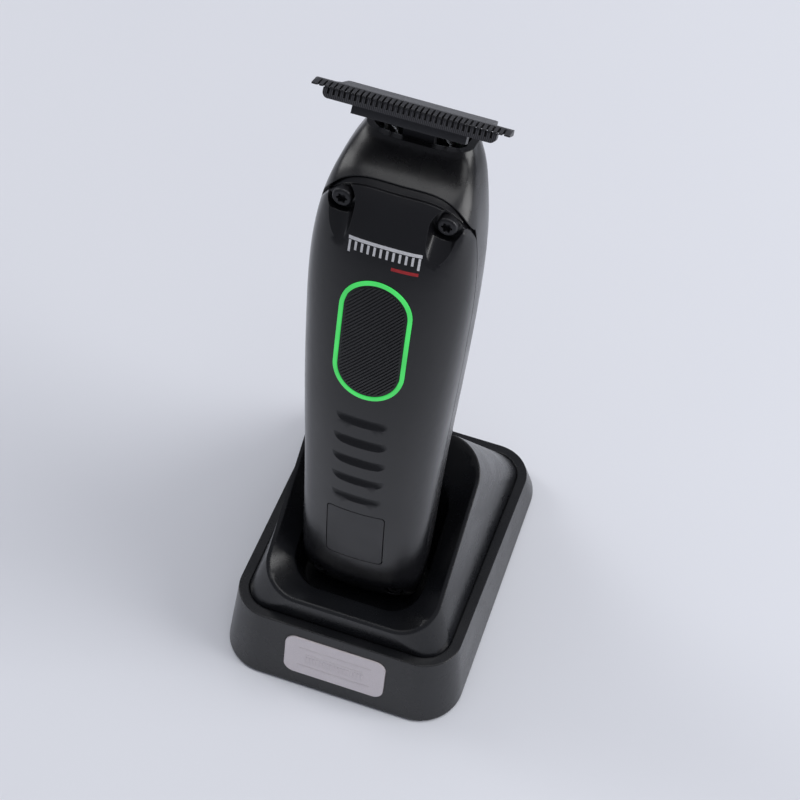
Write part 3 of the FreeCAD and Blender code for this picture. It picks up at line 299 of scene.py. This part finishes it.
# %% Board, sleeve and badge
def lacquered_board(name):
    """Green lacquer over copper tracks."""
    material, tree, shader, place = start_finish(name, 0.32)
    tracks = add_node(tree, "ShaderNodeTexBrick", inputs={
        "Scale": 260.0, "Mortar Size": 0.06, "Color1": (0.010, 0.095, 0.045, 1),
        "Color2": (0.012, 0.110, 0.050, 1), "Mortar": (0.030, 0.210, 0.090, 1)})
    tree.links.new(place, tracks.inputs["Vector"])
    tree.links.new(tracks.outputs["Color"], shader.inputs["Base Color"])
    tree.links.new(ranged(tree, noise_of(tree, place, 200), 0.26, 0.40), shader.inputs["Roughness"])
    tree.links.new(bumped(tree, tracks.outputs["Fac"], 2e-5, 0.5), shader.inputs["Normal"])
    return material


def shrunk_sleeve(name, colour):
    """A plastic sleeve shrunk onto a cell, with faint upright creases."""
    material, tree, shader, place = start_finish(name, 0.30)
    stretch = add_node(tree, "ShaderNodeMapping", inputs={"Scale": (12.0, 12.0, 1.0)})
    tree.links.new(place, stretch.inputs["Vector"])
    creases = noise_of(tree, stretch.outputs["Vector"], 60, 3.0)
    darker = tuple(0.8 * channel for channel in colour)
    base = mixed(tree, ranged(tree, creases, 0.0, 1.0), darker, colour)
    tree.links.new(base, shader.inputs["Base Color"])
    tree.links.new(ranged(tree, creases, 0.24, 0.38), shader.inputs["Roughness"])
    tree.links.new(bumped(tree, creases, 5e-5, 0.4), shader.inputs["Normal"])
    return material


def blasted_metal(name, colour):
    """Pale metal with the tiny pits of grit blasting."""
    material, tree, shader, place = start_finish(name, 0.46, 0.12)
    soft = softened_normal(tree, 2.5e-4)
    pits = noise_of(tree, place, 5200, 2.0)
    darker = tuple(0.90 * channel for channel in colour)
    ground = mixed(tree, ranged(tree, pits, 0.0, 1.0), darker, colour)
    bright = tuple(min(1.0, 1.12 * channel) for channel in colour)
    base = mixed(tree, edge_mask(tree, soft, 0.8), ground, bright)
    tree.links.new(base, shader.inputs["Base Color"])
    tree.links.new(ranged(tree, noise_of(tree, place, 300), 0.40, 0.54), shader.inputs["Roughness"])
    tree.links.new(bumped(tree, pits, 1.6e-5, 0.5, soft), shader.inputs["Normal"])
    return material


FINISHES["board_green"] = lacquered_board("board_green")
FINISHES["cell_blue"] = shrunk_sleeve("cell_blue", (0.04, 0.14, 0.40))
FINISHES["badge_silver"] = blasted_metal("badge_silver", (0.84, 0.78, 0.80))
print(len(FINISHES), "finishes in all")

# %% [markdown]
# ## Smooth shading by angle
#
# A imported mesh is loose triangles, so curved faces would look faceted. Its vertices may not be
# changed, but a modifier may weld them on the way to the picture and call every edge smooth
# that bends by less than a limit. A small geometry node group does both, and leaves the sharp
# edges sharp for the finishes to soften.

# %% A node group that smooths by angle
def angle_smoothing(limit):
    """Welds a mesh and shades it smooth, except across edges that bend by more than a limit."""
    group = bpy.data.node_groups.new("smooth_by_angle", "GeometryNodeTree")
    group.is_modifier = True
    group.interface.new_socket("Geometry", in_out="INPUT", socket_type="NodeSocketGeometry")
    group.interface.new_socket("Geometry", in_out="OUTPUT", socket_type="NodeSocketGeometry")
    start = add_node(group, "NodeGroupInput")
    weld = add_node(group, "GeometryNodeMergeByDistance", inputs={"Distance": 1e-6})
    faces = add_node(group, "GeometryNodeSetShadeSmooth", {"domain": "FACE"},
                     {"Shade Smooth": True})
    bend = add_node(group, "GeometryNodeInputMeshEdgeAngle")
    gentle = add_node(group, "FunctionNodeCompare",
                      {"data_type": "FLOAT", "operation": "LESS_THAN"})
    gentle.inputs[1].default_value = limit
    edges = add_node(group, "GeometryNodeSetShadeSmooth", {"domain": "EDGE"})
    end = add_node(group, "NodeGroupOutput")
    chain = [start, weld, faces, edges, end]
    for one, other in zip(chain[:-1], chain[1:]):
        group.links.new(one.outputs[0], other.inputs[0])
    group.links.new(bend.outputs["Unsigned Angle"], gentle.inputs[0])
    group.links.new(gentle.outputs[0], edges.inputs["Shade Smooth"])
    return group


SMOOTH_LIMIT = math.radians(32)
SMOOTHING = angle_smoothing(SMOOTH_LIMIT)
print("smoothing group has", len(SMOOTHING.nodes), "nodes")

# %% [markdown]
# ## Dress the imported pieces
#
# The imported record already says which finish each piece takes. Reading it from there keeps
# the two models in step: if a piece changes its finish in the record, it changes here too.

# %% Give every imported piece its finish
for part in frame["record"]["subparts"]:
    mesh = nodes[part["node"]].data
    mesh.materials.clear()
    mesh.materials.append(FINISHES[part["material_slot"]])
    nodes[part["node"]].modifiers.new("smooth_by_angle", "NODES").node_group = SMOOTHING

# %% [markdown]
# ## Printed marks on the cover
#
# Above the ring the cover has a white mark with a small red line under it. Here it is a plain
# comb: a bar with teeth. Ink is a film some hundredths of a millimetre thick that follows the
# surface, so it is made as thin boxes, cut into short lengths, with each corner dropped onto
# the cover along the handset's backward axis. A ray from outside finds where the cover is.

# %% A helper that lays a flat shape on a piece
RAY_START = 0.08


def surface_of(node):
    """A tree that rays can be shot at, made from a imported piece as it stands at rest."""
    mesh = nodes[node].data
    return BVHTree.FromPolygons([vertex.co.copy() for vertex in mesh.vertices],
                                [list(face.vertices) for face in mesh.polygons])


def laid_on(surface, place_of, direction, vertices, thick):
    """Drops every point of a mesh on a surface; its front points stay a thickness above it."""
    for vertex in vertices:
        across, depth, up = vertex.co
        hit, _, _, _ = surface.ray_cast(place_of(across, 0, up) - direction * RAY_START, direction)
        if hit is None:
            raise ValueError("no surface under a mark at %.4f, %.4f" % (across, up))
        vertex.co = hit - direction * (thick if depth < 0 else 0.0)


def box_in(build, low, high, cuts):
    """A box in a bmesh, cut across its length so that it can follow a curved surface."""
    size = Vector(high) - Vector(low)
    middle = (Vector(high) + Vector(low)) / 2
    place = Matrix.Translation(middle) @ Matrix.Diagonal((*size, 1.0))
    made = bmesh.ops.create_cube(build, size=1.0, matrix=place)["verts"]
    edges = {edge for vertex in made for edge in vertex.link_edges}
    longest = 0 if size.x >= size.z else 2
    along = [edge for edge in edges if abs((edge.verts[0].co - edge.verts[1].co)[longest]) > 1e-6]
    bmesh.ops.subdivide_edges(build, edges=along, cuts=cuts, use_grid_fill=True)


def piece_of(name, build, finish, body):
    """A finished piece that rides on a body, with its faces turned outwards."""
    bmesh.ops.recalc_face_normals(build, faces=build.faces)
    mesh = bpy.data.meshes.new(name)
    build.to_mesh(mesh)
    build.free()
    mesh.materials.append(finish)
    piece = bpy.data.objects.new(name, mesh)
    bpy.context.scene.collection.objects.link(piece)
    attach(piece, body)
    print(name, len(mesh.polygons), "faces")
    return piece


# %% The ink
def printed_ink(name, colour):
    """Screen ink: flat, a little uneven in cover, with a dull skin."""
    material, tree, shader, place = start_finish(name, 0.45)
    cover = noise_of(tree, place, 1400, 3.0)
    thin = tuple(0.85 * channel for channel in colour)
    base = mixed(tree, ranged(tree, cover, 0.0, 1.0), thin, colour)
    tree.links.new(base, shader.inputs["Base Color"])
    tree.links.new(bumped(tree, cover, 4e-6, 0.4), shader.inputs["Normal"])
    return material


WHITE_INK = printed_ink("white_ink", (0.80, 0.80, 0.82))
RED_INK = printed_ink("red_ink", (0.50, 0.020, 0.025))
INK_THICK = 3e-5

# %% The comb mark and the dash
MARK_MIDDLE = 0.1305
MARK_HALF = 0.0088
TOOTH_COUNT = 12
TOOTH_HALF = 0.00028
TOOTH_REACH = 0.0022
END_TOOTH = 0.0030
cover_surface = surface_of("front_cover")

comb = bmesh.new()
bar_low, bar_high = MARK_MIDDLE + 0.0008, MARK_MIDDLE + 0.0016
box_in(comb, (-MARK_HALF, -0.001, bar_low), (MARK_HALF, 0.001, bar_high), 23)
for number in range(TOOTH_COUNT):
    middle = MARK_HALF * (2 * number / (TOOTH_COUNT - 1) - 1) * 0.95
    reach = END_TOOTH if number in (0, TOOTH_COUNT - 1) else TOOTH_REACH
    box_in(comb, (middle - TOOTH_HALF, -0.001, MARK_MIDDLE + 0.0006 - reach),
           (middle + TOOTH_HALF, 0.001, MARK_MIDDLE + 0.0006), 5)
laid_on(cover_surface, in_handset, BACK, comb.verts, INK_THICK)
piece_of("comb_mark", comb, WHITE_INK, "clipper")

dash = bmesh.new()
box_in(dash, (0.0022, -0.001, MARK_MIDDLE - 0.0040), (0.0086, 0.001, MARK_MIDDLE - 0.0032), 11)
laid_on(cover_surface, in_handset, BACK, dash.verts, INK_THICK)
piece_of("red_dash", dash, RED_INK, "clipper")

# %% [markdown]
# ## The pressed badge
#
# The badge on the dock carries a pressed device. A plain comb between two lines is drawn here,
# raised by a few hundredths of a millimetre in the badge's own metal, so that only a low light
# shows it. It is laid on the badge in the same way as the ink, along the dock's own Y axis.

# %% The badge's comb
badge_low, badge_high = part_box("badge_plate")
BADGE_MIDDLE = (badge_low.z + badge_high.z) / 2
BADGE_HALF = badge_high.x * 0.72
BADGE_TEETH = 17


def in_dock(across, back, up):
    """The real place of a point given in the dock's own frame."""
    return Vector((across, back, up))


press = bmesh.new()
for side in (-1, 1):
    level = BADGE_MIDDLE + side * 0.0034
    box_in(press, (-BADGE_HALF, -0.001, level - 0.0002), (BADGE_HALF, 0.001, level + 0.0002), 3)
box_in(press, (-BADGE_HALF * 0.8, -0.001, BADGE_MIDDLE + 0.0006),
       (BADGE_HALF * 0.8, 0.001, BADGE_MIDDLE + 0.0014), 3)
for number in range(BADGE_TEETH):
    middle = BADGE_HALF * 0.77 * (2 * number / (BADGE_TEETH - 1) - 1)
    box_in(press, (middle - 0.00025, -0.001, BADGE_MIDDLE - 0.0018),
           (middle + 0.00025, 0.001, BADGE_MIDDLE + 0.0004), 1)
laid_on(surface_of("badge_plate"), in_dock, Vector((0, 1, 0)), press.verts, 6e-5)
piece_of("badge_comb", press, FINISHES["badge_silver"], "dock")

# %% [markdown]
# ## The studio
#
# A pale sweep of floor and three soft lights. Black plastic shows only what it reflects, so
# the lights are large: a broad one overhead fills the faces that look up, a tall one at the
# right draws the pale band down the right flank, and a weaker one at the left gives the edges
# on that side their thin highlight.

# %% Floor and light
def soft_light(name, place, aim, size, power, colour=(1.0, 1.0, 1.0)):
    """A rectangular soft box at a place, facing an aim."""
    lamp = bpy.data.lights.new(name, "AREA")
    lamp.shape = "RECTANGLE"
    lamp.size, lamp.size_y = size
    lamp.energy = power
    lamp.color = colour
    holder = bpy.data.objects.new(name, lamp)
    holder.location = place
    holder.rotation_euler = (Vector(aim) - Vector(place)).to_track_quat("-Z", "Y").to_euler()
    bpy.context.scene.collection.objects.link(holder)


ground = bmesh.new()
bmesh.ops.create_grid(ground, x_segments=1, y_segments=1, size=3.0)
floor_mesh = bpy.data.meshes.new("floor")
ground.to_mesh(floor_mesh)
ground.free()
floor = bpy.data.objects.new("floor", floor_mesh)
bpy.context.scene.collection.objects.link(floor)
paper, paper_tree, paper_shader, paper_place = start_finish("paper_sweep", 0.75)
pale = mixed(paper_tree, ranged(paper_tree, noise_of(paper_tree, paper_place, 3.0), 0.0, 1.0),
             (0.76, 0.775, 0.83), (0.79, 0.805, 0.855))
paper_tree.links.new(pale, paper_shader.inputs["Base Color"])
floor_mesh.materials.append(paper)

MIDDLE = (0.0, 0.0, 0.09)
soft_light("overhead", (0.10, 0.25, 1.30), MIDDLE, (1.2, 1.0), 7.0)
soft_light("right_box", (1.10, 0.15, 0.60), MIDDLE, (0.7, 1.0), 10.0)
soft_light("left_box", (-1.05, 0.30, 0.75), MIDDLE, (0.35, 0.9), 3.5)
sky = bpy.data.worlds.new("studio")
sky.use_nodes = True
sky.node_tree.nodes["Background"].inputs["Color"].default_value = (0.84, 0.87, 1.0, 1.0)
sky.node_tree.nodes["Background"].inputs["Strength"].default_value = 0.25
bpy.context.scene.world = sky
bpy.context.scene.view_settings.view_transform = "Standard"
print("studio ready")

# %% Camera
camera_data = bpy.data.cameras.new("camera")
camera_data.lens = 96.75
camera_data.sensor_width = 36.0
camera = bpy.data.objects.new("camera", camera_data)
camera.location = (0.0945, -0.2576, 0.5497)
camera.rotation_euler = (math.radians(30.8), 0.0, math.radians(19.2))
bpy.context.scene.collection.objects.link(camera)
bpy.context.scene.camera = camera
print("camera", [round(v, 4) for v in camera.location])
